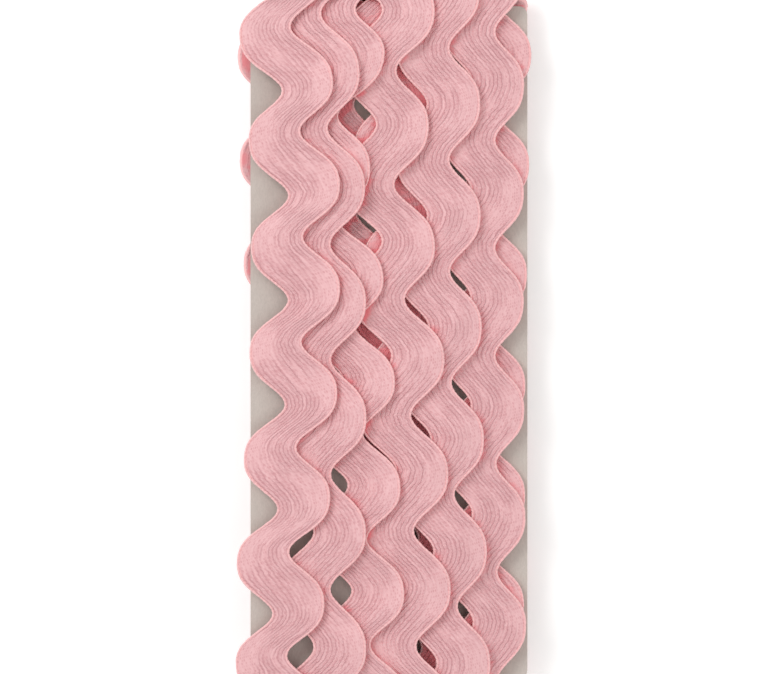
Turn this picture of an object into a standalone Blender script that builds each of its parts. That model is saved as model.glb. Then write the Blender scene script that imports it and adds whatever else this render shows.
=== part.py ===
"""Ric rac trim wound lengthwise round a flat card, lying on its back.

Metres, +Z up. +X runs across the card and +Y along it, towards the top fold. The origin is on
the surface that the winding lies on, under the middle of its box.
The trim is one continuous wavy band. It goes up the front of the card, over the top end, down
the back and under the bottom end, nine times, and its end lies on the back. Each turn lies on
the turns under it, so its height is worked out from theirs.
"""

import math

import bmesh
import bpy
import numpy as np
from mathutils import Matrix, Vector
from mathutils.geometry import intersect_point_tri

MM = 0.001

# The trim, 15 mm wide over its waves
TRIM_LENGTH = 2300 * MM
BAND_WIDTH = 10.2 * MM          # width of the band itself, measured square across the winding
BAND_THICKNESS = 1.0 * MM
CREST_BROADENING = 0.175        # makes outer crests broad and inner valleys tight
NATURAL_PERIOD = 19.4 * MM

# The card that the trim is wound on
CARD_WIDTH = 49.0 * MM
CARD_MIDDLE = 0.7 * MM
CARD_THICKNESS = 0.8 * MM
CARD_CORNER_RADIUS = 1.5 * MM
CARD_GAP = 0.3 * MM             # between the card and the trim

# The winding
TURN_GAP = 0.15 * MM            # between one turn and the next
RUN = 119.6 * MM                # straight stretch of a turn, between the two end folds
CARD_LENGTH = RUN - 0.6 * MM    # so that its ends clear the folds
FOLD_RADIUS = CARD_THICKNESS / 2 + CARD_GAP
FOLD_MID_RADIUS = 3.2 * MM      # where a fold's length is measured
FOLD = math.pi * FOLD_MID_RADIUS
STATIONS_PER_RUN = 44
STATIONS_PER_FOLD = 8
FIRST_FOLD_RADIUS = 1.6 * MM    # real radius of the first turn's folds, for the wave's phase
FOLD_GROWTH = 0.5 * MM          # what each later turn adds to it
FLOOR_CUT = 0.3 * MM            # depth of the flat spots that the winding rests on

# How a turn settles on the turns under it
ROWS_PER_STATION = 4            # places between two stations where lower turns are felt
FEELERS = np.linspace(0, 1, 21) # places across the band where lower turns are felt
FEEL_REACH = 0.5 * MM           # a lower turn also holds up what is this near its edge
STATIONS_AHEAD = 12
SETTLING_STEPS = 300
CLEARING_STEPS = 60
SMOOTHING_ALONG = 0.4
SMOOTHING_ACROSS = 0.06
SINK_PER_STEP = 0.08 * MM

# Turns in the order of winding, in millimetres. top, upper, half and low are where the front
# run's middle line lies across the card: near its top end, a third of the run above its middle,
# at its middle and near its low end. back_upper and back_lower are the same on the back run that
# follows, a quarter and three quarters of the way down. crest is how far above the card's middle
# one of the front run's right-hand crests lies, period is the length of a wave, and swing is
# half of its travel. lag is how much lower the left edge's wave lies than the right edge's, where
# the trim was pulled askew.
COLUMNS = (
    "top", "upper", "half", "low", "back_upper", "back_lower", "crest", "period", "swing", "lag"
)
TURNS = [
    dict(zip(COLUMNS, row))
    for row in (
        (-7.3, -7.3, -4.0, -1.0, -3.0, 5.7, 51.8, 19.4, 3.0, 0.0),
        (0.6, 2.0, 5.0, 8.0, 8.0, 13.7, 43.3, 19.4, 3.0, 0.0),
        (18.2, 17.9, 17.2, 16.6, 16.0, 17.0, -7.6, 19.4, 3.0, 0.0),
        (17.2, 17.2, 17.2, 17.6, 13.8, 12.6, 45.1, 19.0, 2.5, 0.0),
        (9.3, 9.3, 9.6, 11.0, 8.0, 5.3, 41.9, 19.6, 2.7, 0.0),
        (0.9, -0.1, 2.5, 4.0, -0.3, -2.8, 37.7, 20.2, 3.1, 0.3),
        (-7.0, -10.2, -6.5, -4.0, -8.0, -10.0, 49.3, 18.6, 3.1, 0.0),
        (-12.6, -11.5, -11.0, -11.0, -12.6, -14.6, 47.5, 20.2, 3.1, 0.0),
        (-17.8, -16.1, -15.9, -18.5, -18.0, -14.5, 9.3, 18.4, 3.3, 1.9),
    )
]
KNOTS_UP_FRONT = {"low": -0.46, "half": 0.0, "upper": 0.304, "top": 0.46}
KNOTS_DOWN_BACK = {"back_upper": 0.25, "back_lower": 0.75}
TAIL_CREST = 49.1 * MM          # a left-hand crest of the last back run, above the card's middle
TAIL_PERIOD = 18.6 * MM

HALF_TURN = RUN + FOLD
STATIONS_PER_HALF = STATIONS_PER_RUN + STATIONS_PER_FOLD
STATIONS_PER_TURN = 2 * STATIONS_PER_HALF
ROWS_PER_TURN = STATIONS_PER_TURN * ROWS_PER_STATION


def station_lengths():
    """How far along the trim each station lies, from the first front run's low end."""
    run = np.arange(STATIONS_PER_RUN) / STATIONS_PER_RUN * RUN
    fold = RUN + np.arange(STATIONS_PER_FOLD) / STATIONS_PER_FOLD * FOLD
    half = np.concatenate([run, fold])
    halves = 2 * len(TURNS)
    return np.concatenate([half + n * HALF_TURN for n in range(halves)])


def smooth_curve(knots, values, at):
    """Values of a smooth curve through the knots, with slopes taken from their neighbours."""
    slopes = np.gradient(values, knots)
    place = np.clip(np.searchsorted(knots, at, side="right") - 1, 0, len(knots) - 2)
    span = knots[place + 1] - knots[place]
    share = (at - knots[place]) / span
    from_near = (1 + 2 * share) * (1 - share) ** 2 * values[place]
    from_near += share * (1 - share) ** 2 * span * slopes[place]
    from_far = share**2 * (3 - 2 * share) * values[place + 1]
    from_far -= share**2 * (1 - share) * span * slopes[place + 1]
    return from_near + from_far


def middle_line(length):
    """How far across the card the trim's middle line is."""
    knots = []
    values = []
    for n, turn in enumerate(TURNS):
        start = n * 2 * HALF_TURN
        for name, up in KNOTS_UP_FRONT.items():
            knots.append(start + (0.5 + up) * RUN)
            values.append(turn[name] * MM)
        for name, down in KNOTS_DOWN_BACK.items():
            knots.append(start + HALF_TURN + down * RUN)
            values.append(turn[name] * MM)
    return smooth_curve(np.array(knots), np.array(values), length)


def wave_phase(length):
    """The wave's phase, which is a whole number of turns at each right-hand crest."""
    knots = []
    phases = []
    reached = 0.0
    for n, turn in enumerate(TURNS):
        start = n * 2 * HALF_TURN
        round_fold = math.pi * (FIRST_FOLD_RADIUS + n * FOLD_GROWTH) / NATURAL_PERIOD
        at_low = (-RUN / 2 - turn["crest"] * MM) / (turn["period"] * MM)
        if n:
            natural = reached + RUN / NATURAL_PERIOD + 2 * round_fold
            at_low += round(natural - at_low)
            knots += [start - HALF_TURN, start - FOLD]
            phases += [reached + round_fold, at_low - round_fold]
        reached = at_low + RUN / (turn["period"] * MM)
        knots += [start, start + RUN]
        phases += [at_low, reached]
    tail = 0.5 - (RUN / 2 - TAIL_CREST) / TAIL_PERIOD
    tail += round(reached + round_fold - tail)
    knots += [knots[-1] + FOLD, knots[-1] + HALF_TURN]
    phases += [tail, tail + RUN / TAIL_PERIOD]
    return 2 * math.pi * np.interp(length, knots, phases)


def front_values(length, values):
    """One value for each front run, which changes evenly over the back run that follows."""
    starts = np.arange(len(TURNS)) * 2 * HALF_TURN
    knots = np.sort(np.concatenate([starts, starts + RUN]))
    return np.interp(length, knots, np.repeat(values, 2))


def edges_across(length):
    """The trim's left and right edges across the card."""
    middle = middle_line(length)
    phase = wave_phase(length)
    swing = front_values(length, [turn["swing"] * MM for turn in TURNS])
    lag = front_values(length, [2 * math.pi * turn["lag"] / turn["period"] for turn in TURNS])
    late = phase + lag
    left = -BAND_WIDTH / 2 + swing * (np.cos(late) + CREST_BROADENING * np.cos(2 * late))
    right = BAND_WIDTH / 2 + swing * (np.cos(phase) - CREST_BROADENING * np.cos(2 * phase))
    return middle + left, middle + right


def on_rows(values):
    """Values at the stations, interpolated to the rows between them."""
    rows = np.arange((len(values) - 1) * ROWS_PER_STATION + 1) / ROWS_PER_STATION
    return np.interp(rows, np.arange(len(values)), values)


def corner_weights(along, across):
    """Weights of a patch's corners at a place in it, as its two triangles have them.

    The corners are near left, near right, far left and far right, and the triangles meet on
    the line from near left to far right.
    """
    first = along >= across
    near_left = 1 - np.maximum(along, across)
    near_right = np.where(first, 0, across - along)
    far_left = np.where(first, along - across, 0)
    return near_left, near_right, far_left, np.minimum(along, across)


def surface_height(heights, rows, share):
    """Height of the band at these rows and shares of the way across it."""
    station = np.minimum(rows // ROWS_PER_STATION, len(heights) - 2)[:, None]
    along = rows[:, None] / ROWS_PER_STATION - station
    place = np.clip(share, 0, 1) * 2
    side = np.minimum(place.astype(int), 1)
    near_left, near_right, far_left, far_right = corner_weights(along, place - side)
    near = heights[station, side] * near_left + heights[station, side + 1] * near_right
    far = heights[station + 1, side] * far_left + heights[station + 1, side + 1] * far_right
    return near + far


def felt_heights(first, last, left, right, heights):
    """What holds the band up between two rows, at each feeler: the card, or a lower turn."""
    rows = np.arange(first, last)
    across = left[rows, None] + FEELERS * (right - left)[rows, None]
    felt = np.zeros(across.shape)
    below = rows - ROWS_PER_TURN
    while below.max() >= 0:
        there = np.maximum(below, 0)
        low_left = left[there, None]
        low_right = right[there, None]
        top = surface_height(heights, there, (across - low_left) / (low_right - low_left))
        over = (across > low_left - FEEL_REACH) & (across < low_right + FEEL_REACH)
        over &= (below >= 0)[:, None]
        felt = np.where(over, np.maximum(felt, top + BAND_THICKNESS + TURN_GAP), felt)
        below = below - ROWS_PER_TURN
    return felt.reshape(-1, ROWS_PER_STATION, len(FEELERS))


def feeler_weights():
    """Share of each of a patch's left, middle and right heights in what a feeler is at."""
    weights = np.zeros((2, 3, ROWS_PER_STATION, len(FEELERS)))
    along = np.arange(ROWS_PER_STATION) / ROWS_PER_STATION
    for n, place in enumerate(FEELERS * 2):
        side = min(int(place), 1)
        corners = corner_weights(along, place - side)
        weights[0, side, :, n], weights[0, side + 1, :, n] = corners[:2]
        weights[1, side, :, n], weights[1, side + 1, :, n] = corners[2:]
    return weights


def lifts(heights, felt, weights):
    """How far each left, middle and right height must rise to clear what the feelers feel."""
    reached = np.einsum("nk,krf->nrf", heights[:-1], weights[0])
    reached += np.einsum("nk,krf->nrf", heights[1:], weights[1])
    push = np.maximum(felt - reached, 0) / (weights**2).sum(axis=(0, 1))
    result = np.zeros(heights.shape)
    result[:-1] = (push[:, None] * weights[0]).max(axis=(2, 3))
    result[1:] = np.maximum(result[1:], (push[:, None] * weights[1]).max(axis=(2, 3)))
    return result


def settled(felt, before):
    """Left, middle and right heights of the band over what it feels, smooth along it."""
    weights = feeler_weights()
    heights = np.full((len(felt) + 1, 3), felt.max())
    fixed = len(before)
    heights[:fixed] = before
    for step in range(SETTLING_STEPS):
        padded = np.pad(heights, ((1, 1), (0, 0)), mode="edge")
        along = (padded[:-2] + padded[2:]) / 2 - heights
        bend = heights[:, 1] - (heights[:, 0] + heights[:, 2]) / 2
        across = bend[:, None] * np.array([1, -1, 1])
        moved = heights + SMOOTHING_ALONG * along + SMOOTHING_ACROSS * across - SINK_PER_STEP
        moved = np.maximum(moved, 0)
        moved += lifts(moved, felt, weights)
        heights[fixed:] = moved[fixed:]
    for step in range(CLEARING_STEPS):
        heights[fixed:] += lifts(heights, felt, weights)[fixed:]
    return heights


def heights_of_turns(left, right):
    """Height of the band's lower side over the card, at its left edge, middle and right edge."""
    count = len(left)
    left_rows = on_rows(left)
    right_rows = on_rows(right)
    heights = np.zeros((count, 3))
    for start in range(0, count, STATIONS_PER_HALF):
        first = max(start - 1, 0)
        end = min(start + STATIONS_PER_HALF, count)
        last = min(end + STATIONS_AHEAD, count)
        rows = first * ROWS_PER_STATION, (last - 1) * ROWS_PER_STATION
        felt = felt_heights(*rows, left_rows, right_rows, heights)
        heights[first:end] = settled(felt, heights[first:start])[: end - first]
    return heights


def placed(length, across, height):
    """A point at this length along the trim, place across the card and height over its face."""
    within = length % (2 * HALF_TURN)
    side = 1
    if within >= HALF_TURN:
        side = -1
        within -= HALF_TURN
    radius = FOLD_RADIUS + height
    if within <= RUN:
        return across, side * (within - RUN / 2), side * radius
    angle = (within - RUN) / FOLD * math.pi
    return across, side * (RUN / 2 + radius * math.sin(angle)), side * radius * math.cos(angle)


def add_faces_between(mesh, near, far):
    """The band's surface between two stations, in the triangles that corner_weights means."""
    for i in range(len(near)):
        j = (i + 1) % len(near)
        if i < len(near) // 2:
            mesh.faces.new((near[i], near[j], far[j]))
            mesh.faces.new((near[i], far[j], far[i]))
        else:
            mesh.faces.new((near[i], near[j], far[i]))
            mesh.faces.new((near[j], far[j], far[i]))


def wound_band():
    """The wound band as one closed body, with six corners at every station."""
    lengths = station_lengths()
    left, right = edges_across(lengths)
    heights = heights_of_turns(left, right)
    middle = (left + right) / 2
    mesh = bmesh.new()
    rings = []
    for n, length in enumerate(lengths[lengths <= TRIM_LENGTH]):
        across = (left[n], middle[n], right[n])
        under = [placed(length, x, h) for x, h in zip(across, heights[n])]
        over = [placed(length, x, h + BAND_THICKNESS) for x, h in zip(across, heights[n])]
        rings.append([mesh.verts.new(point) for point in under + over[::-1]])
    for near, far in zip(rings, rings[1:]):
        add_faces_between(mesh, near, far)
    mesh.faces.new(rings[0][::-1])
    mesh.faces.new(rings[-1])
    bmesh.ops.recalc_face_normals(mesh, faces=mesh.faces)
    return mesh


def seating(mesh):
    """The turn and shift that lay the winding down on its lowest three points."""
    hull = mesh.copy()
    made = bmesh.ops.convex_hull(hull, input=hull.verts)
    middle = sum((v.co for v in mesh.verts), Vector()) / len(mesh.verts)
    down = Vector((0, 0, -1))
    turn = Matrix()
    for face in made["geom"]:
        if isinstance(face, bmesh.types.BMFace) and face.normal.z < 0:
            corners = [Vector((v.co.x, v.co.y, 0)) for v in face.verts]
            if intersect_point_tri(Vector((middle.x, middle.y, 0)), *corners):
                turn = face.normal.rotation_difference(down).to_matrix().to_4x4()
    hull.free()
    points = np.array([turn @ v.co for v in mesh.verts])
    low = points.min(axis=0)
    middle = (low + points.max(axis=0)) / 2
    return Matrix.Translation((-middle[0], -middle[1], -low[2] - FLOOR_CUT)) @ turn


def flatten_under(mesh):
    """Cuts away what reaches below the surface that the winding lies on."""
    everything = list(mesh.verts) + list(mesh.edges) + list(mesh.faces)
    made = bmesh.ops.bisect_plane(
        mesh, geom=everything, dist=1e-7, plane_co=(0, 0, 0), plane_no=(0, 0, -1), clear_outer=True
    )
    cut = [item for item in made["geom_cut"] if isinstance(item, bmesh.types.BMEdge)]
    bmesh.ops.holes_fill(mesh, edges=cut)
    bmesh.ops.recalc_face_normals(mesh, faces=mesh.faces)


def mesh_data(mesh, name):
    """Mesh data with this name, from a mesh that is then freed."""
    data = bpy.data.meshes.new(name)
    mesh.to_mesh(data)
    mesh.free()
    return data


def card_mesh():
    """The card, a plain board with its corners a little rounded."""
    mesh = bmesh.new()
    bmesh.ops.create_cube(mesh, size=1)
    sides = Vector((CARD_WIDTH, CARD_LENGTH, CARD_THICKNESS))
    bmesh.ops.scale(mesh, vec=sides, verts=mesh.verts)
    upright = [e for e in mesh.edges if abs(e.verts[0].co.z - e.verts[1].co.z) > CARD_THICKNESS / 2]
    bmesh.ops.bevel(
        mesh, geom=upright, offset=CARD_CORNER_RADIUS, segments=4, affect="EDGES", profile=0.5
    )
    return mesh_data(mesh, "winding_card")


def plain_material(name, colour, roughness):
    """A matt material of one colour."""
    material = bpy.data.materials.new(name)
    material.use_nodes = True
    shader = material.node_tree.nodes["Principled BSDF"]
    shader.inputs["Base Color"].default_value = (*colour, 1.0)
    shader.inputs["Roughness"].default_value = roughness
    shader.inputs["Metallic"].default_value = 0.0
    return material


def new_object(name, data, material):
    """An object in the scene with this mesh and material."""
    obj = bpy.data.objects.new(name, data)
    bpy.context.scene.collection.objects.link(obj)
    data.materials.append(material)
    return obj


def main():
    for obj in list(bpy.data.objects):
        bpy.data.objects.remove(obj)
    band = wound_band()
    seat = seating(band)
    band.transform(seat)
    flatten_under(band)
    pink = plain_material("pink_polyester_braid", (0.76, 0.445, 0.456), 0.75)
    new_object("ric_rac_trim", mesh_data(band, "ric_rac_trim"), pink)
    board = plain_material("grey_board", (0.56, 0.48, 0.43), 0.85)
    card = new_object("winding_card", card_mesh(), board)
    card.matrix_world = seat @ Matrix.Translation((CARD_MIDDLE, 0, 0))


main()
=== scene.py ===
"""Looks of a length of jumbo ric rac wound lengthwise round a flat card, lying on its back.

Everything is in metres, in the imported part's frame. The trim is worked out in the frame of its
card, where X runs across the card, Y along it towards the top fold and Z through its front.
"""

import math

import bmesh
import bpy
import numpy as np
from mathutils import Matrix, Vector


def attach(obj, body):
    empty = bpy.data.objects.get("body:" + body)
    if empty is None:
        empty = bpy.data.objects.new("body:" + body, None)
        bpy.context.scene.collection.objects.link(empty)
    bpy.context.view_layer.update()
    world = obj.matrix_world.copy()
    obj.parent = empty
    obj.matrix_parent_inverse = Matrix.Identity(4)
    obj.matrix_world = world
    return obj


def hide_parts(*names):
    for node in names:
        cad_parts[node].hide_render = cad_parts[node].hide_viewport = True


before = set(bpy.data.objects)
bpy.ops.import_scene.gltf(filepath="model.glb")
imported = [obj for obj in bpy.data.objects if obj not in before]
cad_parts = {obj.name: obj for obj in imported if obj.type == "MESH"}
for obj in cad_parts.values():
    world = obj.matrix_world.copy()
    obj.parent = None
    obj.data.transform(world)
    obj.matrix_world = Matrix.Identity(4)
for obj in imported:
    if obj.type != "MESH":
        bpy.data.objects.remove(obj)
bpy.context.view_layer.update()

bl_info = {
    "name": "Ric rac on a card",
    "version": (1, 0, 0),
    "blender": (4, 5, 0),
    "location": "View3D > Sidebar > Ric rac",
    "description": "Builds a wound length of ric rac trim, its card and a plain stage",
    "category": "Object",
}

MM = 0.001

# The photograph's frame
PHOTO_WIDTH = 770
PHOTO_PIXEL = 0.175 * MM        # size of one pixel on the trim
PHOTO_MIDDLE_UP = 0.96 * MM     # the photograph's middle, above the card's middle
PHOTO_MIDDLE_OUT = 5.0 * MM     # height of the trim's top layer over the card
LENS = 110.0                    # focal length and sensor width, in millimetres
SENSOR_WIDTH = 36.0

# The winding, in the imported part's sizes. The top ends of the first two turns and the lags of
# the fourth and sixth follow the photo a little more closely.
BAND_WIDTH = 10.2 * MM
CREST_BROADENING = 0.175        # makes outer crests broad and inner valleys tight
NATURAL_PERIOD = 19.4 * MM
CARD_MIDDLE = 0.7 * MM
RUN = 119.6 * MM                # straight stretch of a turn, between the two end folds
FOLD_RADIUS = 0.7 * MM
FOLD_MID_RADIUS = 3.2 * MM      # where a fold's length is measured
FOLD = math.pi * FOLD_MID_RADIUS
FIRST_FOLD_RADIUS = 1.6 * MM
FOLD_GROWTH = 0.5 * MM

# Turns in the order of winding, in millimetres. top, upper, half and low are where the front
# run's middle line lies across the card: near its top end, a third of the run above its middle,
# at its middle and near its low end. back_upper and back_lower are the same on the back run that
# follows, a quarter and three quarters of the way down. crest is how far above the card's middle
# one of the front run's right-hand crests lies, period is the length of a wave, and swing is
# half of its travel. lag is how much lower the left edge's wave lies than the right edge's, where
# the trim was pulled askew.
COLUMNS = (
    "top", "upper", "half", "low", "back_upper", "back_lower", "crest", "period", "swing", "lag"
)
TURNS = [
    dict(zip(COLUMNS, row))
    for row in (
        (-6.2, -7.3, -4.0, -1.0, -3.0, 5.7, 51.8, 19.4, 3.0, 0.0),
        (-0.3, 2.0, 5.0, 8.0, 8.0, 13.7, 43.3, 19.4, 3.0, 0.0),
        (18.2, 17.9, 17.2, 16.6, 16.0, 17.0, -7.6, 19.4, 3.0, 0.0),
        (17.2, 17.2, 17.2, 17.6, 13.8, 12.6, 45.1, 19.0, 2.5, -0.9),
        (9.3, 9.3, 9.6, 11.0, 8.0, 5.3, 41.9, 19.6, 2.7, 0.0),
        (0.9, -0.1, 2.5, 4.0, -0.3, -2.8, 37.7, 20.2, 3.1, -0.5),
        (-7.0, -10.2, -6.5, -4.0, -8.0, -10.0, 49.3, 18.6, 3.1, 0.0),
        (-12.6, -11.5, -11.0, -11.0, -12.6, -14.6, 47.5, 20.2, 3.1, 0.0),
        (-17.8, -16.1, -15.9, -18.5, -18.0, -14.5, 9.3, 18.4, 3.3, 1.9),
    )
]
KNOTS_UP_FRONT = {"low": -0.46, "half": 0.0, "upper": 0.304, "top": 0.46}
KNOTS_DOWN_BACK = {"back_upper": 0.25, "back_lower": 0.75}
TAIL_CREST = 49.1 * MM          # a left-hand crest of the last back run, above the card's middle
TAIL_PERIOD = 18.6 * MM
HALF_TURN = RUN + FOLD

# Rows of points along the trim, and how they settle on the turns under them
ROWS_PER_RUN = 172
ROWS_PER_FOLD = 26
ROWS_PER_HALF = ROWS_PER_RUN + ROWS_PER_FOLD
ROWS_PER_TURN = 2 * ROWS_PER_HALF
ROWS_AHEAD = 40
SHARES = np.linspace(0, 1, 13)  # places across the band
TURN_GAP = 0.26 * MM
FEEL_REACH = 0.5 * MM           # a lower turn also holds up what is this near its edge
SMOOTHING_ALONG = 0.3
SMOOTHING_ACROSS = 0.12
# Each stage of settling has this many steps, each of which sinks the band this far.
SINKING = ((400, 0.04 * MM), (500, 0.012 * MM), (700, 0.0045 * MM))

# The band's section, as shares of its width from the left edge
SECTION_SHARES = (0.012, 0.04, 0.085, 0.17, 0.29, 0.43, 0.57, 0.71, 0.83, 0.915, 0.96, 0.988)
EDGE_ROUNDING = 0.55 * MM       # how far in from an edge the band is rounded

# The thread turns along the edges, and the filaments of the cut end
EDGE_TURNS = {"Spacing": 0.8 * MM, "Length": 1.9 * MM, "Thickness": 0.56 * MM, "Seed": 4}
FRAYS = {"Length": 2.6 * MM, "Thickness": 0.12 * MM, "Seed": 11}

# Painted shade: the places that lie deep between turns are tinted a deeper pink, for the shade
# there and the light that comes through the braid
SHADE_CELL = 0.9 * MM
SHADE_REACH = 1                 # cells on each side
SHADE_FADE = 1.5 * MM           # how far into a fold the tint goes

# The stage
TABLE_REACH = 1.5
KEY_SIZE = 0.28
KEY_PLACE = (-0.32, 0.3, 0.5)
FILL_SIZE = 0.6
FILL_PLACE = (0.5, -0.25, 0.6)


def to_linear(colour):
    """A linear colour with alpha from an sRGB hex value."""
    parts = [int(colour[i : i + 2], 16) / 255 for i in (1, 3, 5)]
    return [p / 12.92 if p <= 0.04045 else ((p + 0.055) / 1.055) ** 2.4 for p in parts] + [1.0]


def add_node(tree, kind, links=None, **settings):
    """A new node with these settings. links gives an input a value or another node's output."""
    node = tree.nodes.new(kind)
    for name, value in settings.items():
        setattr(node, name, value)
    for name, value in (links or {}).items():
        if isinstance(value, bpy.types.NodeSocket):
            tree.links.new(value, node.inputs[name])
        else:
            node.inputs[name].default_value = value
    return node


# Where the trim lies


def smooth_curve(knots, values, at):
    """Values of a smooth curve through the knots, with slopes taken from their neighbours."""
    slopes = np.gradient(values, knots)
    place = np.clip(np.searchsorted(knots, at, side="right") - 1, 0, len(knots) - 2)
    span = knots[place + 1] - knots[place]
    share = (at - knots[place]) / span
    from_near = (1 + 2 * share) * (1 - share) ** 2 * values[place]
    from_near += share * (1 - share) ** 2 * span * slopes[place]
    from_far = share**2 * (3 - 2 * share) * values[place + 1]
    from_far -= share**2 * (1 - share) * span * slopes[place + 1]
    return from_near + from_far


def middle_line(length):
    """How far across the card the trim's middle line is."""
    knots = []
    values = []
    for n, turn in enumerate(TURNS):
        start = n * 2 * HALF_TURN
        for name, up in KNOTS_UP_FRONT.items():
            knots.append(start + (0.5 + up) * RUN)
            values.append(turn[name] * MM)
        for name, down in KNOTS_DOWN_BACK.items():
            knots.append(start + HALF_TURN + down * RUN)
            values.append(turn[name] * MM)
    return smooth_curve(np.array(knots), np.array(values), length)


def wave_phase(length):
    """The wave's phase, which is a whole number of turns at each right-hand crest."""
    knots = []
    phases = []
    reached = 0.0
    for n, turn in enumerate(TURNS):
        start = n * 2 * HALF_TURN
        round_fold = math.pi * (FIRST_FOLD_RADIUS + n * FOLD_GROWTH) / NATURAL_PERIOD
        at_low = (-RUN / 2 - turn["crest"] * MM) / (turn["period"] * MM)
        if n:
            natural = reached + RUN / NATURAL_PERIOD + 2 * round_fold
            at_low += round(natural - at_low)
            knots += [start - HALF_TURN, start - FOLD]
            phases += [reached + round_fold, at_low - round_fold]
        reached = at_low + RUN / (turn["period"] * MM)
        knots += [start, start + RUN]
        phases += [at_low, reached]
    tail = 0.5 - (RUN / 2 - TAIL_CREST) / TAIL_PERIOD
    tail += round(reached + round_fold - tail)
    knots += [knots[-1] + FOLD, knots[-1] + HALF_TURN]
    phases += [tail, tail + RUN / TAIL_PERIOD]
    return 2 * math.pi * np.interp(length, knots, phases)


def front_values(length, values):
    """One value for each front run, which changes evenly over the back run that follows."""
    starts = np.arange(len(TURNS)) * 2 * HALF_TURN
    knots = np.sort(np.concatenate([starts, starts + RUN]))
    return np.interp(length, knots, np.repeat(values, 2))


def edges_across(length):
    """The trim's left and right edges across the card."""
    middle = middle_line(length)
    phase = wave_phase(length)
    swing = front_values(length, [turn["swing"] * MM for turn in TURNS])
    lag = front_values(length, [2 * math.pi * turn["lag"] / turn["period"] for turn in TURNS])
    late = phase + lag
    left = -BAND_WIDTH / 2 + swing * (np.cos(late) + CREST_BROADENING * np.cos(2 * late))
    right = BAND_WIDTH / 2 + swing * (np.cos(phase) - CREST_BROADENING * np.cos(2 * phase))
    return middle + left, middle + right


def row_lengths():
    """How far along the trim each row lies, from the first front run's low end."""
    run = np.arange(ROWS_PER_RUN) / ROWS_PER_RUN * RUN
    fold = RUN + np.arange(ROWS_PER_FOLD) / ROWS_PER_FOLD * FOLD
    half = np.concatenate([run, fold])
    return np.concatenate([half + n * HALF_TURN for n in range(2 * len(TURNS))])


def fullness(from_edge):
    """Share of the band's thickness at this distance from an edge, which is rounded."""
    inward = np.clip(from_edge / EDGE_ROUNDING, 0, 1)
    return np.sqrt(np.clip(1 - (1 - inward) ** 2, 0, 1))


def felt_heights(rows, left, right, heights, thickness):
    """What holds the band up at these rows: the card, or a lower turn."""
    across = left[rows, None] + SHARES * (right - left)[rows, None]
    felt = np.zeros(across.shape)
    below = rows - ROWS_PER_TURN
    while below.max() >= 0:
        there = np.maximum(below, 0)
        low_left = left[there, None]
        low_right = right[there, None]
        place = np.clip((across - low_left) / (low_right - low_left), 0, 1) * (len(SHARES) - 1)
        side = np.minimum(place.astype(int), len(SHARES) - 2)
        under = heights[there[:, None], side] * (side + 1 - place)
        under += heights[there[:, None], side + 1] * (place - side)
        from_edge = np.minimum(across - low_left, low_right - across) + FEEL_REACH
        over = (from_edge > 0) & (below >= 0)[:, None]
        top = under + thickness * (0.5 + 0.5 * fullness(from_edge)) + TURN_GAP
        felt = np.where(over, np.maximum(felt, top), felt)
        below = below - ROWS_PER_TURN
    return felt


def heights_of_turns(left, right, thickness):
    """Height of the band's lower side over the card, at each row and share of its width."""
    count = len(left)
    heights = np.zeros((count, len(SHARES)))
    for start in range(0, count, ROWS_PER_HALF):
        first = max(start - 2, 0)
        end = min(start + ROWS_PER_HALF, count)
        rows = np.arange(first, min(end + ROWS_AHEAD, count))
        felt = felt_heights(rows, left, right, heights, thickness)
        moving = start - first
        patch = np.full(felt.shape, felt.max())
        patch[:moving] = heights[first:start]
        for steps, sink in SINKING:
            for step in range(steps):
                wide = np.pad(patch, 1, mode="edge")
                along = (wide[:-2, 1:-1] + wide[2:, 1:-1]) / 2 - patch
                across = (wide[1:-1, :-2] + wide[1:-1, 2:]) / 2 - patch
                moved = patch + SMOOTHING_ALONG * along + SMOOTHING_ACROSS * across - sink
                patch[moving:] = np.maximum(moved, felt)[moving:]
        heights[start:end] = patch[moving : moving + end - start]
    return heights


def placed(length, across, height):
    """Points at these lengths along the trim, places across the card and heights over it."""
    within = length % (2 * HALF_TURN)
    side = np.where(within >= HALF_TURN, -1.0, 1.0)
    within = within % HALF_TURN
    radius = FOLD_RADIUS + height
    angle = np.clip((within - RUN) / FOLD, 0, 1) * math.pi
    straight = np.minimum(within, RUN) - RUN / 2
    return np.stack(
        [across, side * (straight + radius * np.sin(angle)), side * radius * np.cos(angle)], axis=-1
    )


def card_seat():
    """The card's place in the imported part: its axes and the winding's middle."""
    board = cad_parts["winding_card"].data
    points = np.array([v.co for v in board.vertices], float)
    points = np.unique(np.round(points, 6), axis=0)
    middle = points.mean(axis=0)
    axes = np.linalg.svd(points - middle, full_matrices=False)[2]
    along = axes[0] * np.sign(axes[0][1])
    across = axes[1] * np.sign(axes[1][0])
    seat = Matrix(np.stack([across, along, np.cross(across, along)], axis=1).tolist()).to_4x4()
    seat.translation = Vector(middle) - CARD_MIDDLE * Vector(across)
    return seat


def seated(points):
    """Points of the card's frame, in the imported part's frame."""
    seat = np.array(card_seat())
    return points @ seat[:3, :3].T + seat[:3, 3]


def sunk_depths(points):
    """How far each point lies below the turns around it, on its side of the card, which sets the
    painted shade.
    """
    cells = np.round(points[..., :2] / SHADE_CELL).astype(int)
    cells -= cells.min(axis=(0, 1)) - SHADE_REACH
    depths = np.zeros(points.shape[:2])
    for side in (1, -1):
        heights = points[..., 2] * side
        facing = heights > 0
        tops = np.zeros(cells.max(axis=(0, 1)) + SHADE_REACH + 1)
        np.maximum.at(tops, tuple(cells[facing].T), heights[facing])
        span = range(-SHADE_REACH, SHADE_REACH + 1)
        around = np.mean([np.roll(tops, (i, j), (0, 1)) for i in span for j in span], axis=0)
        depths[facing] = around[tuple(cells[facing].T)] - heights[facing]
    return np.maximum(depths, 0)


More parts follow.
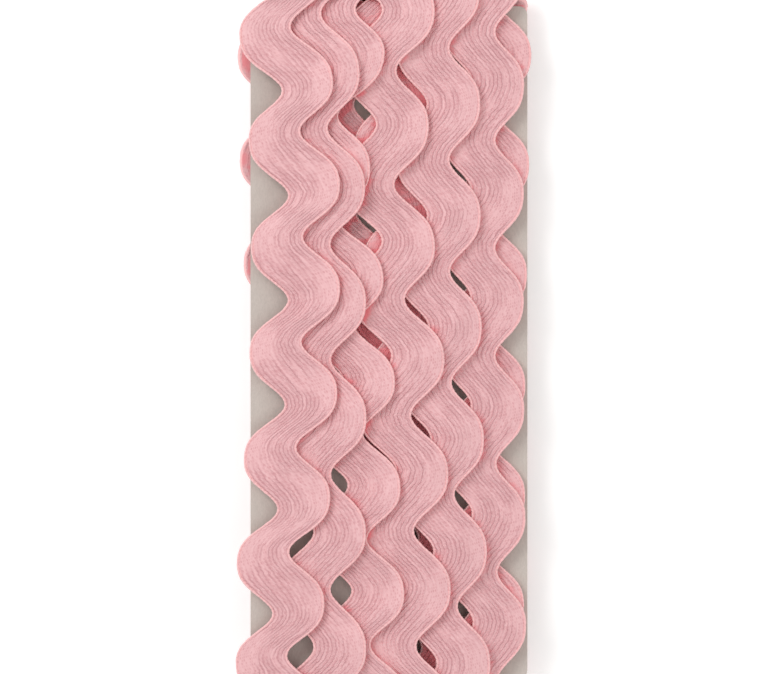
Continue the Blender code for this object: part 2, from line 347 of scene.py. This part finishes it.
def share_on_face(lengths):
    """One where the trim lies on the front or back, falling to zero a little into each fold."""
    into_fold = np.maximum(lengths % HALF_TURN - RUN, 0)
    return np.clip(1 - np.minimum(into_fold, FOLD - into_fold) / SHADE_FADE, 0, 1)


def wound_trim(settings):
    """Everything that is known of the wound band: its rings of points and their places."""
    lengths = row_lengths()
    left, right = edges_across(lengths)
    heights = heights_of_turns(left, right, settings.thickness)
    kept = lengths <= settings.length
    lengths, left, right, heights = lengths[kept], left[kept], right[kept], heights[kept]
    width = (right - left)[:, None]
    shares = np.array(SECTION_SHARES)
    place = shares * (len(SHARES) - 1)
    side = np.minimum(place.astype(int), len(SHARES) - 2)
    under = heights[:, side] * (side + 1 - place) + heights[:, side + 1] * (place - side)
    middle = under + settings.thickness / 2
    swell = settings.thickness / 2 * fullness(np.minimum(shares, 1 - shares) * width)
    across = left[:, None] + shares * width
    down = middle - swell
    up = middle + swell
    edge = np.stack([heights[:, 0], heights[:, -1]], axis=1) + settings.thickness / 2
    ring_across = np.concatenate([left[:, None], across, right[:, None], across[:, ::-1]], axis=1)
    ring_height = np.concatenate([edge[:, :1], up, edge[:, 1:], down[:, ::-1]], axis=1)
    ring_share = np.concatenate([[0], shares, [1], shares[::-1]])
    on_card = placed(lengths[:, None], ring_across, ring_height)
    points = seated(on_card)
    points[..., 2] = np.maximum(points[..., 2], 0)
    return {
        "lengths": lengths,
        "points": points,
        "painted_shade_depth": sunk_depths(on_card) * share_on_face(lengths)[:, None],
        "shares": ring_share,
        "phase": wave_phase(lengths) / (2 * math.pi),
    }


def new_piece(name, mesh, material):
    """A mesh object of this name in the scene, smooth, with its material."""
    mesh.materials.clear()
    mesh.materials.append(material)
    mesh.shade_smooth()
    piece = bpy.data.objects.new(name, mesh)
    bpy.context.scene.collection.objects.link(piece)
    return piece


def band_mesh(trim):
    """The band as one closed mesh, with the place on the braid at each point and the depth of its
    painted shade.
    """
    rings = trim["points"]
    rows, around = rings.shape[:2]
    index = np.arange(rows * around).reshape(rows, around)
    turned = np.roll(index, -1, axis=1)
    quads = np.stack([index[:-1], index[1:], turned[1:], turned[:-1]], axis=-1).reshape(-1, 4)
    ends = [index[0].tolist(), index[-1][::-1].tolist()]
    mesh = bpy.data.meshes.new("ric_rac_braid")
    mesh.from_pydata(rings.reshape(-1, 3).tolist(), [], quads.tolist() + ends)
    place = np.zeros((rows, around, 3), np.float32)
    place[..., 0] = trim["shares"]
    place[..., 1] = trim["lengths"][:, None] / MM
    place[..., 2] = trim["phase"][:, None]
    braid = mesh.attributes.new("braid_place", "FLOAT_VECTOR", "POINT")
    braid.data.foreach_set("vector", place.ravel())
    # How deep each point lies between turns, which sets the painted shade
    painted_shade_depth = mesh.attributes.new("painted_shade_depth", "FLOAT", "POINT")
    painted_shade_depth.data.foreach_set("value", (trim["painted_shade_depth"] / MM).astype(np.float32).ravel())
    mesh.update()
    return mesh


# Materials


def new_material(name):
    """A material with an empty node tree, its shader and the shader's inputs."""
    material = bpy.data.materials.new(name)
    material.use_nodes = True
    tree = material.node_tree
    tree.nodes.clear()
    shader = add_node(tree, "ShaderNodeBsdfPrincipled")
    add_node(tree, "ShaderNodeOutputMaterial", {"Surface": shader.outputs[0]})
    return material, tree, shader


def braided_polyester(settings):
    """Braided polyester: soft matt threads in fine ribs, with a faint sheen, lighter edges painted
    as highlight, and painted shade in its grooves and between turns.
    """
    material, tree, shader = new_material("braided_polyester")
    place = add_node(tree, "ShaderNodeAttribute", attribute_name="braid_place")
    parts = add_node(tree, "ShaderNodeSeparateXYZ", {0: place.outputs["Vector"]})
    share, along, phase = parts.outputs
    wander = add_node(
        tree, "ShaderNodeTexNoise", {"Vector": place.outputs["Vector"], "Scale": 0.9, "Detail": 1.0}
    )
    loose = add_node(
        tree,
        "ShaderNodeMath",
        {0: wander.outputs["Fac"], 1: 0.05, 2: share},
        operation="MULTIPLY_ADD",
    )
    rib = add_node(
        tree, "ShaderNodeMath", {0: loose.outputs[0], 1: settings.ribs}, operation="MULTIPLY"
    )
    half_waves = add_node(
        tree, "ShaderNodeMath", {0: rib.outputs[0], 1: math.pi}, operation="MULTIPLY"
    )
    wave = add_node(tree, "ShaderNodeMath", {0: half_waves.outputs[0]}, operation="SINE")
    bulge = add_node(tree, "ShaderNodeMath", {0: wave.outputs[0]}, operation="ABSOLUTE")
    cords = add_node(tree, "ShaderNodeMath", {0: bulge.outputs[0], 1: 0.8}, operation="POWER")
    # Every brick is one float of a thread, and the slant makes a twill of them.
    slant = add_node(
        tree, "ShaderNodeMath", {0: rib.outputs[0], 1: 0.35, 2: along}, operation="MULTIPLY_ADD"
    )
    floats = add_node(
        tree, "ShaderNodeCombineXYZ", {"X": slant.outputs[0], "Y": rib.outputs[0], "Z": 0.0}
    )
    braid = add_node(
        tree,
        "ShaderNodeTexBrick",
        {
            "Vector": floats.outputs[0],
            "Color1": (0.0, 0.0, 0.0, 1.0),
            "Color2": (1.0, 1.0, 1.0, 1.0),
            "Scale": 1.0,
            "Mortar Size": 0.16,
            "Mortar Smooth": 1.0,
            "Brick Width": settings.float_length / MM,
            "Row Height": 0.5,
        },
    )
    # The braid lies flat and smooth where it is stretched round the outside of a crest.
    turn = add_node(tree, "ShaderNodeMath", {0: phase, 1: 2 * math.pi}, operation="MULTIPLY")
    swing = add_node(tree, "ShaderNodeMath", {0: turn.outputs[0]}, operation="COSINE")
    side = add_node(
        tree, "ShaderNodeMath", {0: share, 1: 2.0, 2: -1.0}, operation="MULTIPLY_ADD"
    )
    outer = add_node(
        tree, "ShaderNodeMath", {0: side.outputs[0], 1: swing.outputs[0]}, operation="MULTIPLY"
    )
    coords = add_node(tree, "ShaderNodeTexCoord")
    patches = add_node(
        tree,
        "ShaderNodeTexNoise",
        {"Vector": coords.outputs["Object"], "Scale": 170.0, "Detail": 2.0, "Roughness": 0.5},
    )
    stretched = add_node(
        tree,
        "ShaderNodeMath",
        {0: patches.outputs["Fac"], 1: 1.8, 2: outer.outputs[0]},
        operation="MULTIPLY_ADD",
    )
    relief = add_node(
        tree,
        "ShaderNodeMapRange",
        {
            "Value": stretched.outputs[0],
            "From Min": 0.75,
            "From Max": 1.6,
            "To Min": 1.0,
            "To Max": 0.2,
        },
        interpolation_type="SMOOTHSTEP",
    )
    groove = add_node(
        tree, "ShaderNodeMath", {0: 1.0, 1: cords.outputs[0]}, operation="SUBTRACT"
    )
    # Each rib is tight in some stretches and loose in others.
    stretch = add_node(tree, "ShaderNodeMath", {0: along, 1: 0.16}, operation="MULTIPLY")
    rib_place = add_node(
        tree, "ShaderNodeCombineXYZ", {"X": rib.outputs[0], "Y": stretch.outputs[0], "Z": 0.0}
    )
    tension = add_node(
        tree,
        "ShaderNodeTexNoise",
        {"Vector": rib_place.outputs[0], "Scale": 1.0, "Detail": 1.0, "Roughness": 0.5},
    )
    tight = add_node(
        tree,
        "ShaderNodeMapRange",
        {
            "Value": tension.outputs["Fac"],
            "From Min": 0.3,
            "From Max": 0.55,
            "To Min": 0.3,
            "To Max": 1.2,
        },
        interpolation_type="SMOOTHSTEP",
    )
    stitched = add_node(
        tree,
        "ShaderNodeMath",
        {0: braid.outputs["Fac"], 1: 0.7, 2: groove.outputs[0]},
        operation="MULTIPLY_ADD",
    )
    drawn = add_node(
        tree, "ShaderNodeMath", {0: stitched.outputs[0], 1: tight.outputs[0]}, operation="MULTIPLY"
    )
    depth = add_node(
        tree, "ShaderNodeMath", {0: drawn.outputs[0], 1: relief.outputs[0]}, operation="MULTIPLY"
    )
    fibres = add_node(
        tree,
        "ShaderNodeTexNoise",
        {"Vector": coords.outputs["Object"], "Scale": 5200.0, "Detail": 2.0, "Roughness": 0.6},
    )
    height = add_node(
        tree,
        "ShaderNodeMath",
        {0: fibres.outputs["Fac"], 1: 0.2, 2: depth.outputs[0]},
        operation="MULTIPLY_ADD",
    )
    bump = add_node(
        tree,
        "ShaderNodeBump",
        {"Strength": 0.8, "Distance": settings.rib_depth, "Height": height.outputs[0]},
        invert=True,
    )
    # Threads take the dye a little unevenly, and the grooves between them are painted a deeper pink
    # for the shade that lies in them.
    dye = add_node(
        tree,
        "ShaderNodeMix",
        {
            "Factor": braid.outputs["Color"],
            "A": to_linear(settings.thread_colour),
            "B": to_linear(settings.second_thread_colour),
        },
        data_type="RGBA",
    )
    groove_shade_share = add_node(
        tree,
        "ShaderNodeMath",
        {0: depth.outputs[0], 1: settings.groove_shade_share},
        operation="MULTIPLY",
        use_clamp=True,
    )
    groove_shaded = add_node(
        tree,
        "ShaderNodeMix",
        {
            "Factor": groove_shade_share.outputs[0],
            "A": dye.outputs["Result"],
            "B": to_linear(settings.groove_shade_colour),
        },
        data_type="RGBA",
    )
    # Painted shade: the places between turns are tinted a deeper pink, for light that has come
    # through the braid, which is all that reaches them.
    painted_shade_depth = add_node(tree, "ShaderNodeAttribute", attribute_name="painted_shade_depth")
    shade = add_node(
        tree,
        "ShaderNodeMapRange",
        {
            "Value": painted_shade_depth.outputs["Fac"],
            "From Min": 0.2,
            "From Max": 1.3,
            "To Min": 0.0,
            "To Max": 0.95,
        },
        interpolation_type="SMOOTHSTEP",
    )
    shaded = add_node(
        tree,
        "ShaderNodeMix",
        {
            "Factor": shade.outputs[0],
            "A": groove_shaded.outputs["Result"],
            "B": to_linear(settings.shade_colour),
        },
        data_type="RGBA",
    )
    # The threads turn back at the edges, where the braid is thinner and lets light through; the
    # lighter edge colour there is a painted highlight for that light.
    from_middle = add_node(tree, "ShaderNodeMath", {0: side.outputs[0]}, operation="ABSOLUTE")
    rim_highlight = add_node(
        tree,
        "ShaderNodeMapRange",
        {
            "Value": from_middle.outputs[0],
            "From Min": 0.9,
            "From Max": 0.97,
            "To Min": 0.0,
            "To Max": 0.8,
        },
        interpolation_type="SMOOTHSTEP",
    )
    colour = add_node(
        tree,
        "ShaderNodeMix",
        {
            "Factor": rim_highlight.outputs[0],
            "A": shaded.outputs["Result"],
            "B": to_linear(settings.edge_highlight_colour),
        },
        data_type="RGBA",
    )
    tree.links.new(colour.outputs["Result"], shader.inputs["Base Color"])
    tree.links.new(bump.outputs[0], shader.inputs["Normal"])
    shader.inputs["Roughness"].default_value = 0.6
    shader.inputs["IOR"].default_value = 1.54
    shader.inputs["Sheen Weight"].default_value = 0.15
    shader.inputs["Sheen Roughness"].default_value = 0.45
    return material


def twisted_thread(settings):
    """Twisted polyester thread: fine, a little shiny and lighter than the braid it edges, a
    lightness that is a painted highlight.
    """
    material, tree, shader = new_material("twisted_polyester_thread")
    coords = add_node(tree, "ShaderNodeTexCoord")
    fibres = add_node(
        tree,
        "ShaderNodeTexNoise",
        {"Vector": coords.outputs["Object"], "Scale": 4200.0, "Detail": 2.0},
    )
    colour = add_node(
        tree,
        "ShaderNodeMix",
        {
            "Factor": fibres.outputs["Fac"],
            "A": to_linear(settings.edge_highlight_colour),
            "B": to_linear(settings.thread_colour),
        },
        data_type="RGBA",
    )
    bump = add_node(
        tree,
        "ShaderNodeBump",
        {"Strength": 0.6, "Distance": 0.03 * MM, "Height": fibres.outputs["Fac"]},
    )
    tree.links.new(colour.outputs["Result"], shader.inputs["Base Color"])
    tree.links.new(bump.outputs[0], shader.inputs["Normal"])
    shader.inputs["Roughness"].default_value = 0.55
    shader.inputs["IOR"].default_value = 1.54
    shader.inputs["Sheen Weight"].default_value = 0.25
    return material


def grey_paperboard(settings):
    """Recycled paperboard: matt, pressed fibres in light and dark flecks, softly uneven."""
    material, tree, shader = new_material("grey_paperboard")
    coords = add_node(tree, "ShaderNodeTexCoord")
    cloud = add_node(
        tree,
        "ShaderNodeTexNoise",
        {"Vector": coords.outputs["Object"], "Scale": 320.0, "Detail": 4.0, "Roughness": 0.6},
    )
    stretch = add_node(
        tree, "ShaderNodeMapping", {"Vector": coords.outputs["Object"], "Scale": (1.0, 0.3, 1.0)}
    )
    fibre = add_node(
        tree,
        "ShaderNodeTexNoise",
        {
            "Vector": stretch.outputs[0],
            "Scale": 3600.0,
            "Detail": 3.0,
            "Roughness": 0.7,
            "Distortion": 1.5,
        },
    )
    flecks = add_node(
        tree,
        "ShaderNodeMapRange",
        {"Value": fibre.outputs["Fac"], "From Min": 0.34, "From Max": 0.66},
        interpolation_type="SMOOTHSTEP",
    )
    base = add_node(
        tree,
        "ShaderNodeMix",
        {
            "Factor": cloud.outputs["Fac"],
            "A": to_linear(settings.colour),
            "B": to_linear(settings.second_colour),
        },
        data_type="RGBA",
    )
    fleck_share = add_node(
        tree, "ShaderNodeMath", {0: flecks.outputs["Result"], 1: 0.22}, operation="MULTIPLY"
    )
    colour = add_node(
        tree,
        "ShaderNodeMix",
        {
            "Factor": fleck_share.outputs[0],
            "A": base.outputs["Result"],
            "B": to_linear(settings.fleck_colour),
        },
        data_type="RGBA",
    )
    bump = add_node(
        tree,
        "ShaderNodeBump",
        {"Strength": 0.5, "Distance": 0.03 * MM, "Height": fibre.outputs["Fac"]},
    )
    tree.links.new(colour.outputs["Result"], shader.inputs["Base Color"])
    tree.links.new(bump.outputs[0], shader.inputs["Normal"])
    shader.inputs["Roughness"].default_value = 0.85
    return material


def painted_floor(settings):
    """Matt white paint on a table lit from below: rolled on, with the faintest unevenness."""
    material, tree, shader = new_material("matt_white_paint")
    coords = add_node(tree, "ShaderNodeTexCoord")
    roller = add_node(
        tree,
        "ShaderNodeTexNoise",
        {"Vector": coords.outputs["Object"], "Scale": 400.0, "Detail": 2.0},
    )
    bump = add_node(
        tree,
        "ShaderNodeBump",
        {"Strength": 0.1, "Distance": 0.02 * MM, "Height": roller.outputs["Fac"]},
    )
    tree.links.new(bump.outputs[0], shader.inputs["Normal"])
    shader.inputs["Base Color"].default_value = to_linear(settings.floor_colour)
    shader.inputs["Roughness"].default_value = 0.8
    shader.inputs["Emission Color"].default_value = (1.0, 1.0, 1.0, 1.0)
    shader.inputs["Emission Strength"].default_value = settings.floor_glow
    return material


# Details made by Geometry Nodes


def tree_with_inputs(name, inputs):
    """A Geometry Nodes tree with a geometry and these number inputs, and its group nodes."""
    tree = bpy.data.node_groups.new(name, "GeometryNodeTree")
    tree.interface.new_socket("Geometry", in_out="INPUT", socket_type="NodeSocketGeometry")
    sockets = {}
    for label, kind in inputs.items():
        sockets[label] = tree.interface.new_socket(label, in_out="INPUT", socket_type=kind)
    tree.interface.new_socket("Geometry", in_out="OUTPUT", socket_type="NodeSocketGeometry")
    return tree, sockets, add_node(tree, "NodeGroupInput")


def finish_tree(tree, geometry, material):
    """Realises the tree's instances and gives them their material and smooth faces."""
    real = add_node(tree, "GeometryNodeRealizeInstances", {0: geometry})
    smooth = add_node(tree, "GeometryNodeSetShadeSmooth", {"Geometry": real.outputs[0]})
    painted = add_node(
        tree, "GeometryNodeSetMaterial", {"Geometry": smooth.outputs[0], "Material": material}
    )
    add_node(tree, "NodeGroupOutput", {0: painted.outputs[0]})


def made_by_tree(name, guide, tree, sockets, values, material):
    """The plain mesh piece that the tree makes of the guide mesh."""
    guide_object = bpy.data.objects.new(name + "_guide", guide)
    bpy.context.scene.collection.objects.link(guide_object)
    modifier = guide_object.modifiers.new("detail", "NODES")
    modifier.node_group = tree
    for label, value in values.items():
        modifier[sockets[label].identifier] = value
    graph = bpy.context.evaluated_depsgraph_get()
    mesh = bpy.data.meshes.new_from_object(guide_object.evaluated_get(graph))
    guide_object.modifiers.clear()
    bpy.data.objects.remove(guide_object)
    mesh.name = name
    return new_piece(name, mesh, material)


def edge_guide(trim):
    """Both edges of the band as two lines, with the band's upward direction at each point."""
    rings = trim["points"]
    right = len(SECTION_SHARES) + 1
    above = rings[:, len(SECTION_SHARES) // 2] - rings[:, -(len(SECTION_SHARES) // 2)]
    points = np.concatenate([rings[:, 1], rings[:, right - 1]])
    rows = len(rings)
    steps = [(i, i + 1) for i in range(rows - 1)]
    steps += [(i + rows, j + rows) for i, j in steps]
    mesh = bpy.data.meshes.new("edge_lines")
    mesh.from_pydata(points.tolist(), steps, [])
    up = mesh.attributes.new("band_up", "FLOAT_VECTOR", "POINT")
    up.data.foreach_set("vector", np.concatenate([above, above]).astype(np.float32).ravel())
    return mesh


def thread_turns_tree(material):
    """Small thread turns one after another along a line, each a slanted rounded bead."""
    tree, sockets, given = tree_with_inputs(
        "thread_turns",
        {
            "Spacing": "NodeSocketFloat",
            "Length": "NodeSocketFloat",
            "Thickness": "NodeSocketFloat",
            "Seed": "NodeSocketInt",
        },
    )
    line = add_node(tree, "GeometryNodeMeshToCurve", {0: given.outputs["Geometry"]})
    spaced = add_node(
        tree,
        "GeometryNodeResampleCurve",
        {"Curve": line.outputs[0], "Length": given.outputs["Spacing"]},
        mode="LENGTH",
    )
    up = add_node(
        tree, "GeometryNodeInputNamedAttribute", {"Name": "band_up"}, data_type="FLOAT_VECTOR"
    )
    tangent = add_node(tree, "GeometryNodeInputTangent")
    forward = add_node(
        tree, "FunctionNodeAlignRotationToVector", {"Vector": tangent.outputs[0]}, axis="X"
    )
    upright = add_node(
        tree,
        "FunctionNodeAlignRotationToVector",
        {"Rotation": forward.outputs[0], "Vector": up.outputs["Attribute"]},
        axis="Z",
        pivot_axis="X",
    )
    long_half = add_node(
        tree, "ShaderNodeMath", {0: given.outputs["Length"], 1: 0.5}, operation="MULTIPLY"
    )
    thin_half = add_node(
        tree, "ShaderNodeMath", {0: given.outputs["Thickness"], 1: 0.5}, operation="MULTIPLY"
    )
    flat_half = add_node(
        tree, "ShaderNodeMath", {0: given.outputs["Thickness"], 1: 0.42}, operation="MULTIPLY"
    )
    size = add_node(
        tree,
        "ShaderNodeCombineXYZ",
        {"X": long_half.outputs[0], "Y": flat_half.outputs[0], "Z": thin_half.outputs[0]},
    )
    jitter = add_node(
        tree,
        "FunctionNodeRandomValue",
        {0: (0.9, 0.9, 0.9), 1: (1.1, 1.15, 1.1), "Seed": given.outputs["Seed"]},
        data_type="FLOAT_VECTOR",
    )
    scale = add_node(
        tree,
        "ShaderNodeVectorMath",
        {0: size.outputs[0], 1: jitter.outputs[0]},
        operation="MULTIPLY",
    )
    bead = add_node(tree, "GeometryNodeMeshIcoSphere", {"Radius": 1.0, "Subdivisions": 1})
    turned = add_node(
        tree,
        "FunctionNodeRotateRotation",
        {"Rotation": upright.outputs[0], "Rotate By": (0.0, 0.12, 0.0)},
        rotation_space="LOCAL",
    )
    placed_beads = add_node(
        tree,
        "GeometryNodeInstanceOnPoints",
        {
            "Points": spaced.outputs[0],
            "Instance": bead.outputs["Mesh"],
            "Rotation": turned.outputs[0],
            "Scale": scale.outputs[0],
        },
    )
    finish_tree(tree, placed_beads.outputs[0], material)
    return tree, sockets


def end_guide(trim):
    """Points across the cut end, with the way that the trim runs out there."""
    last = trim["points"][-1]
    before = trim["points"][-4]
    ahead = (last - before).mean(axis=0)
    rows = [last[1 : len(SECTION_SHARES) + 1], last[len(SECTION_SHARES) + 2 :][::-1]]
    points = []
    for depth in (0.25, 0.5, 0.75):
        line = rows[0] * depth + rows[1] * (1 - depth)
        between = (line + np.roll(line, -1, axis=0)) / 2
        points += [line, between]
    points = np.concatenate(points)
    mesh = bpy.data.meshes.new("end_points")
    mesh.from_pydata(points.tolist(), [], [])
    out = mesh.attributes.new("way_out", "FLOAT_VECTOR", "POINT")
    ways = np.repeat(ahead[None], len(points), axis=0)
    out.data.foreach_set("vector", ways.astype(np.float32).ravel())
    return mesh


def frayed_end_tree(material):
    """Short loose filaments that stand out of the cut end, curled and of random length."""
    tree, sockets, given = tree_with_inputs(
        "frayed_end",
        {"Length": "NodeSocketFloat", "Thickness": "NodeSocketFloat", "Seed": "NodeSocketInt"},
    )
    filament = add_node(
        tree,
        "GeometryNodeCurveQuadraticBezier",
        {
            "Resolution": 7,
            "Start": (-0.15, 0.0, 0.0),
            "Middle": (0.5, 0.0, 0.25),
            "End": (1.0, 0.12, 0.0),
        },
    )
    lengths = add_node(
        tree,
        "FunctionNodeRandomValue",
        {2: 0.35, 3: 1.0, "Seed": given.outputs["Seed"]},
        data_type="FLOAT",
    )
    size = add_node(
        tree,
        "ShaderNodeMath",
        {0: lengths.outputs[1], 1: given.outputs["Length"]},
        operation="MULTIPLY",
    )
    out = add_node(
        tree, "GeometryNodeInputNamedAttribute", {"Name": "way_out"}, data_type="FLOAT_VECTOR"
    )
    forward = add_node(
        tree, "FunctionNodeAlignRotationToVector", {"Vector": out.outputs["Attribute"]}, axis="X"
    )
    spread = add_node(
        tree,
        "FunctionNodeRandomValue",
        {0: (-3.1, -0.12, -0.45), 1: (3.1, 0.12, 0.45), "Seed": given.outputs["Seed"]},
        data_type="FLOAT_VECTOR",
    )
    spread_turn = add_node(tree, "FunctionNodeEulerToRotation", {0: spread.outputs[0]})
    turned = add_node(
        tree,
        "FunctionNodeRotateRotation",
        {"Rotation": forward.outputs[0], "Rotate By": spread_turn.outputs[0]},
        rotation_space="LOCAL",
    )
    stood = add_node(
        tree,
        "GeometryNodeInstanceOnPoints",
        {
            "Points": given.outputs["Geometry"],
            "Instance": filament.outputs[0],
            "Rotation": turned.outputs[0],
            "Scale": size.outputs[0],
        },
    )
    real = add_node(tree, "GeometryNodeRealizeInstances", {0: stood.outputs[0]})
    half = add_node(
        tree, "ShaderNodeMath", {0: given.outputs["Thickness"], 1: 0.5}, operation="MULTIPLY"
    )
    profile = add_node(tree, "GeometryNodeCurvePrimitiveCircle", {"Resolution": 5})
    tree.links.new(half.outputs[0], profile.inputs["Radius"])
    tubes = add_node(
        tree,
        "GeometryNodeCurveToMesh",
        {"Curve": real.outputs[0], "Profile Curve": profile.outputs[0], "Fill Caps": True},
    )
    finish_tree(tree, tubes.outputs[0], material)
    return tree, sockets


# The add-on


class RicRacTrimSettings(bpy.types.PropertyGroup):
    """Sizes and colours of the trim."""

    length: bpy.props.FloatProperty(
        name="Length", description="Length of the cut trim", default=2.3, unit="LENGTH"
    )
    thickness: bpy.props.FloatProperty(
        name="Thickness", description="Thickness of the braid", default=1.0 * MM, unit="LENGTH"
    )
    ribs: bpy.props.FloatProperty(
        name="Ribs", description="Number of ribs across the band", default=13.0
    )
    rib_depth: bpy.props.FloatProperty(
        name="Rib depth",
        description="Depth of the grooves between ribs",
        default=0.1 * MM,
        unit="LENGTH",
    )
    float_length: bpy.props.FloatProperty(
        name="Float length",
        description="Length of a thread between two crossings",
        default=0.55 * MM,
        unit="LENGTH",
    )
    # How far the grooves take the painted shade of the groove colour
    groove_shade_share: bpy.props.FloatProperty(
        name="Groove colour share",
        description="How far the grooves take the groove colour",
        default=0.36,
        subtype="FACTOR",
    )
    thread_colour: bpy.props.StringProperty(
        name="Thread colour", description="sRGB hex value of the pink thread", default="#EBBABC"
    )
    second_thread_colour: bpy.props.StringProperty(
        name="Second thread colour",
        description="sRGB hex value of threads dyed deeper",
        default="#D79A9E",
    )
    # Colour of the painted shade in the grooves
    groove_shade_colour: bpy.props.StringProperty(
        name="Groove colour", description="sRGB hex value in the grooves", default="#D68C94"
    )
    # The edge colour is a painted highlight along the band's edges and on its threads
    edge_highlight_colour: bpy.props.StringProperty(
        name="Edge colour", description="sRGB hex value of the light edge", default="#FFC3C2"
    )
    # The shade colour is painted shade, tinting the places between turns
    shade_colour: bpy.props.StringProperty(
        name="Shade colour",
        description="sRGB hex value of the pink between turns",
        default="#F2868D",
    )


class WindingCardSettings(bpy.types.PropertyGroup):
    """Colours of the card."""

    colour: bpy.props.StringProperty(
        name="Colour", description="sRGB hex value of the board", default="#CFC6BE"
    )
    second_colour: bpy.props.StringProperty(
        name="Second colour", description="sRGB hex value of its darker clouds", default="#C2B8B0"
    )
    fleck_colour: bpy.props.StringProperty(
        name="Fleck colour", description="sRGB hex value of dark fibres", default="#9A9088"
    )


class StudioStageSettings(bpy.types.PropertyGroup):
    """Floor and light of the stage."""

    floor_colour: bpy.props.StringProperty(
        name="Floor colour", description="sRGB hex value of the floor", default="#F4F4F3"
    )
    floor_glow: bpy.props.FloatProperty(
        name="Floor glow", description="Light that the pale table gives of its own", default=0.22
    )
    key_power: bpy.props.FloatProperty(
        name="Key light", description="Power of the main light", default=1.6, unit="POWER"
    )
    fill_power: bpy.props.FloatProperty(
        name="Fill light", description="Power of the fill light", default=0.8, unit="POWER"
    )
    ambient: bpy.props.FloatProperty(
        name="Ambient light", description="Strength of the light from all round", default=0.74
    )


class RICRAC_OT_stage(bpy.types.Operator):
    """Makes the camera, the floor and the soft lights"""

    bl_idname = "ric_rac.stage"
    bl_label = "Make the stage"

    def execute(self, context):
        settings = context.scene.studio_stage
        seat = card_seat()
        data = bpy.data.cameras.new("photo_camera")
        data.lens = LENS
        data.sensor_width = SENSOR_WIDTH
        distance = PHOTO_WIDTH * PHOTO_PIXEL * LENS / SENSOR_WIDTH
        data.clip_start = 0.01
        data.clip_end = 20.0
        camera = bpy.data.objects.new("photo_camera", data)
        context.scene.collection.objects.link(camera)
        height = PHOTO_MIDDLE_OUT + distance
        camera.matrix_world = seat @ Matrix.Translation((0.0, PHOTO_MIDDLE_UP, height))
        context.scene.camera = camera

        mesh = bmesh.new()
        bmesh.ops.create_grid(mesh, x_segments=2, y_segments=2, size=TABLE_REACH)
        floor_mesh = bpy.data.meshes.new("studio_table")
        mesh.to_mesh(floor_mesh)
        mesh.free()
        floor = new_piece("studio_table", floor_mesh, painted_floor(settings))

        lights = (
            ("key_light", settings.key_power, KEY_SIZE, KEY_PLACE),
            ("fill_light", settings.fill_power, FILL_SIZE, FILL_PLACE),
        )
        for name, power, size, place in lights:
            lamp = bpy.data.lights.new(name, "AREA")
            lamp.energy = power
            lamp.size = size
            light = bpy.data.objects.new(name, lamp)
            light.location = place
            light.rotation_euler = (-Vector(place)).to_track_quat("-Z", "Y").to_euler()
            context.scene.collection.objects.link(light)
        world = bpy.data.worlds.new("studio_light")
        world.use_nodes = True
        back = world.node_tree.nodes["Background"]
        back.inputs["Color"].default_value = (1.0, 1.0, 1.0, 1.0)
        back.inputs["Strength"].default_value = settings.ambient
        context.scene.world = world
        context.scene.view_settings.view_transform = "Standard"
        return {"FINISHED"}


class RICRAC_OT_trim(bpy.types.Operator):
    """Winds the trim, edges it with thread turns and frays its cut end"""

    bl_idname = "ric_rac.trim"
    bl_label = "Wind the trim"

    def execute(self, context):
        settings = context.scene.ric_rac_trim
        trim = wound_trim(settings)
        band = new_piece("ric_rac_band", band_mesh(trim), braided_polyester(settings))
        thread = twisted_thread(settings)

        tree, sockets = thread_turns_tree(thread)
        turns = made_by_tree(
            "edge_thread_turns", edge_guide(trim), tree, sockets, EDGE_TURNS, thread
        )

        tree, sockets = frayed_end_tree(thread)
        fray = made_by_tree("frayed_cut_end", end_guide(trim), tree, sockets, FRAYS, thread)

        for piece in (band, turns, fray):
            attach(piece, "root")
        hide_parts("ric_rac_trim")
        return {"FINISHED"}


class RICRAC_OT_card(bpy.types.Operator):
    """Gives the card its board"""

    bl_idname = "ric_rac.card"
    bl_label = "Finish the card"

    def execute(self, context):
        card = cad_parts["winding_card"]
        board = grey_paperboard(context.scene.winding_card)
        if not card.material_slots:
            raise RuntimeError("the card has no material slot")
        for place in card.material_slots:
            place.material = board
        return {"FINISHED"}


class RICRAC_PT_panel(bpy.types.Panel):
    """Lists the operators that build the ric rac"""

    bl_idname = "RICRAC_PT_panel"
    bl_label = "Ric rac on a card"
    bl_space_type = "VIEW_3D"
    bl_region_type = "UI"
    bl_category = "Ric rac"

    def draw(self, context):
        for operator in OPERATORS:
            self.layout.operator(operator.bl_idname)


SETTINGS = {
    "ric_rac_trim": RicRacTrimSettings,
    "winding_card": WindingCardSettings,
    "studio_stage": StudioStageSettings,
}
OPERATORS = (RICRAC_OT_stage, RICRAC_OT_trim, RICRAC_OT_card)


def register():
    for name, group in SETTINGS.items():
        bpy.utils.register_class(group)
        setattr(bpy.types.Scene, name, bpy.props.PointerProperty(type=group))
    for operator in OPERATORS:
        bpy.utils.register_class(operator)
    bpy.utils.register_class(RICRAC_PT_panel)


def unregister():
    bpy.utils.unregister_class(RICRAC_PT_panel)
    for operator in reversed(OPERATORS):
        bpy.utils.unregister_class(operator)
    for name, group in SETTINGS.items():
        delattr(bpy.types.Scene, name)
        bpy.utils.unregister_class(group)


def main():
    register()
    bpy.ops.ric_rac.stage()
    bpy.ops.ric_rac.trim()
    bpy.ops.ric_rac.card()


if __name__ == "__main__":
    main()
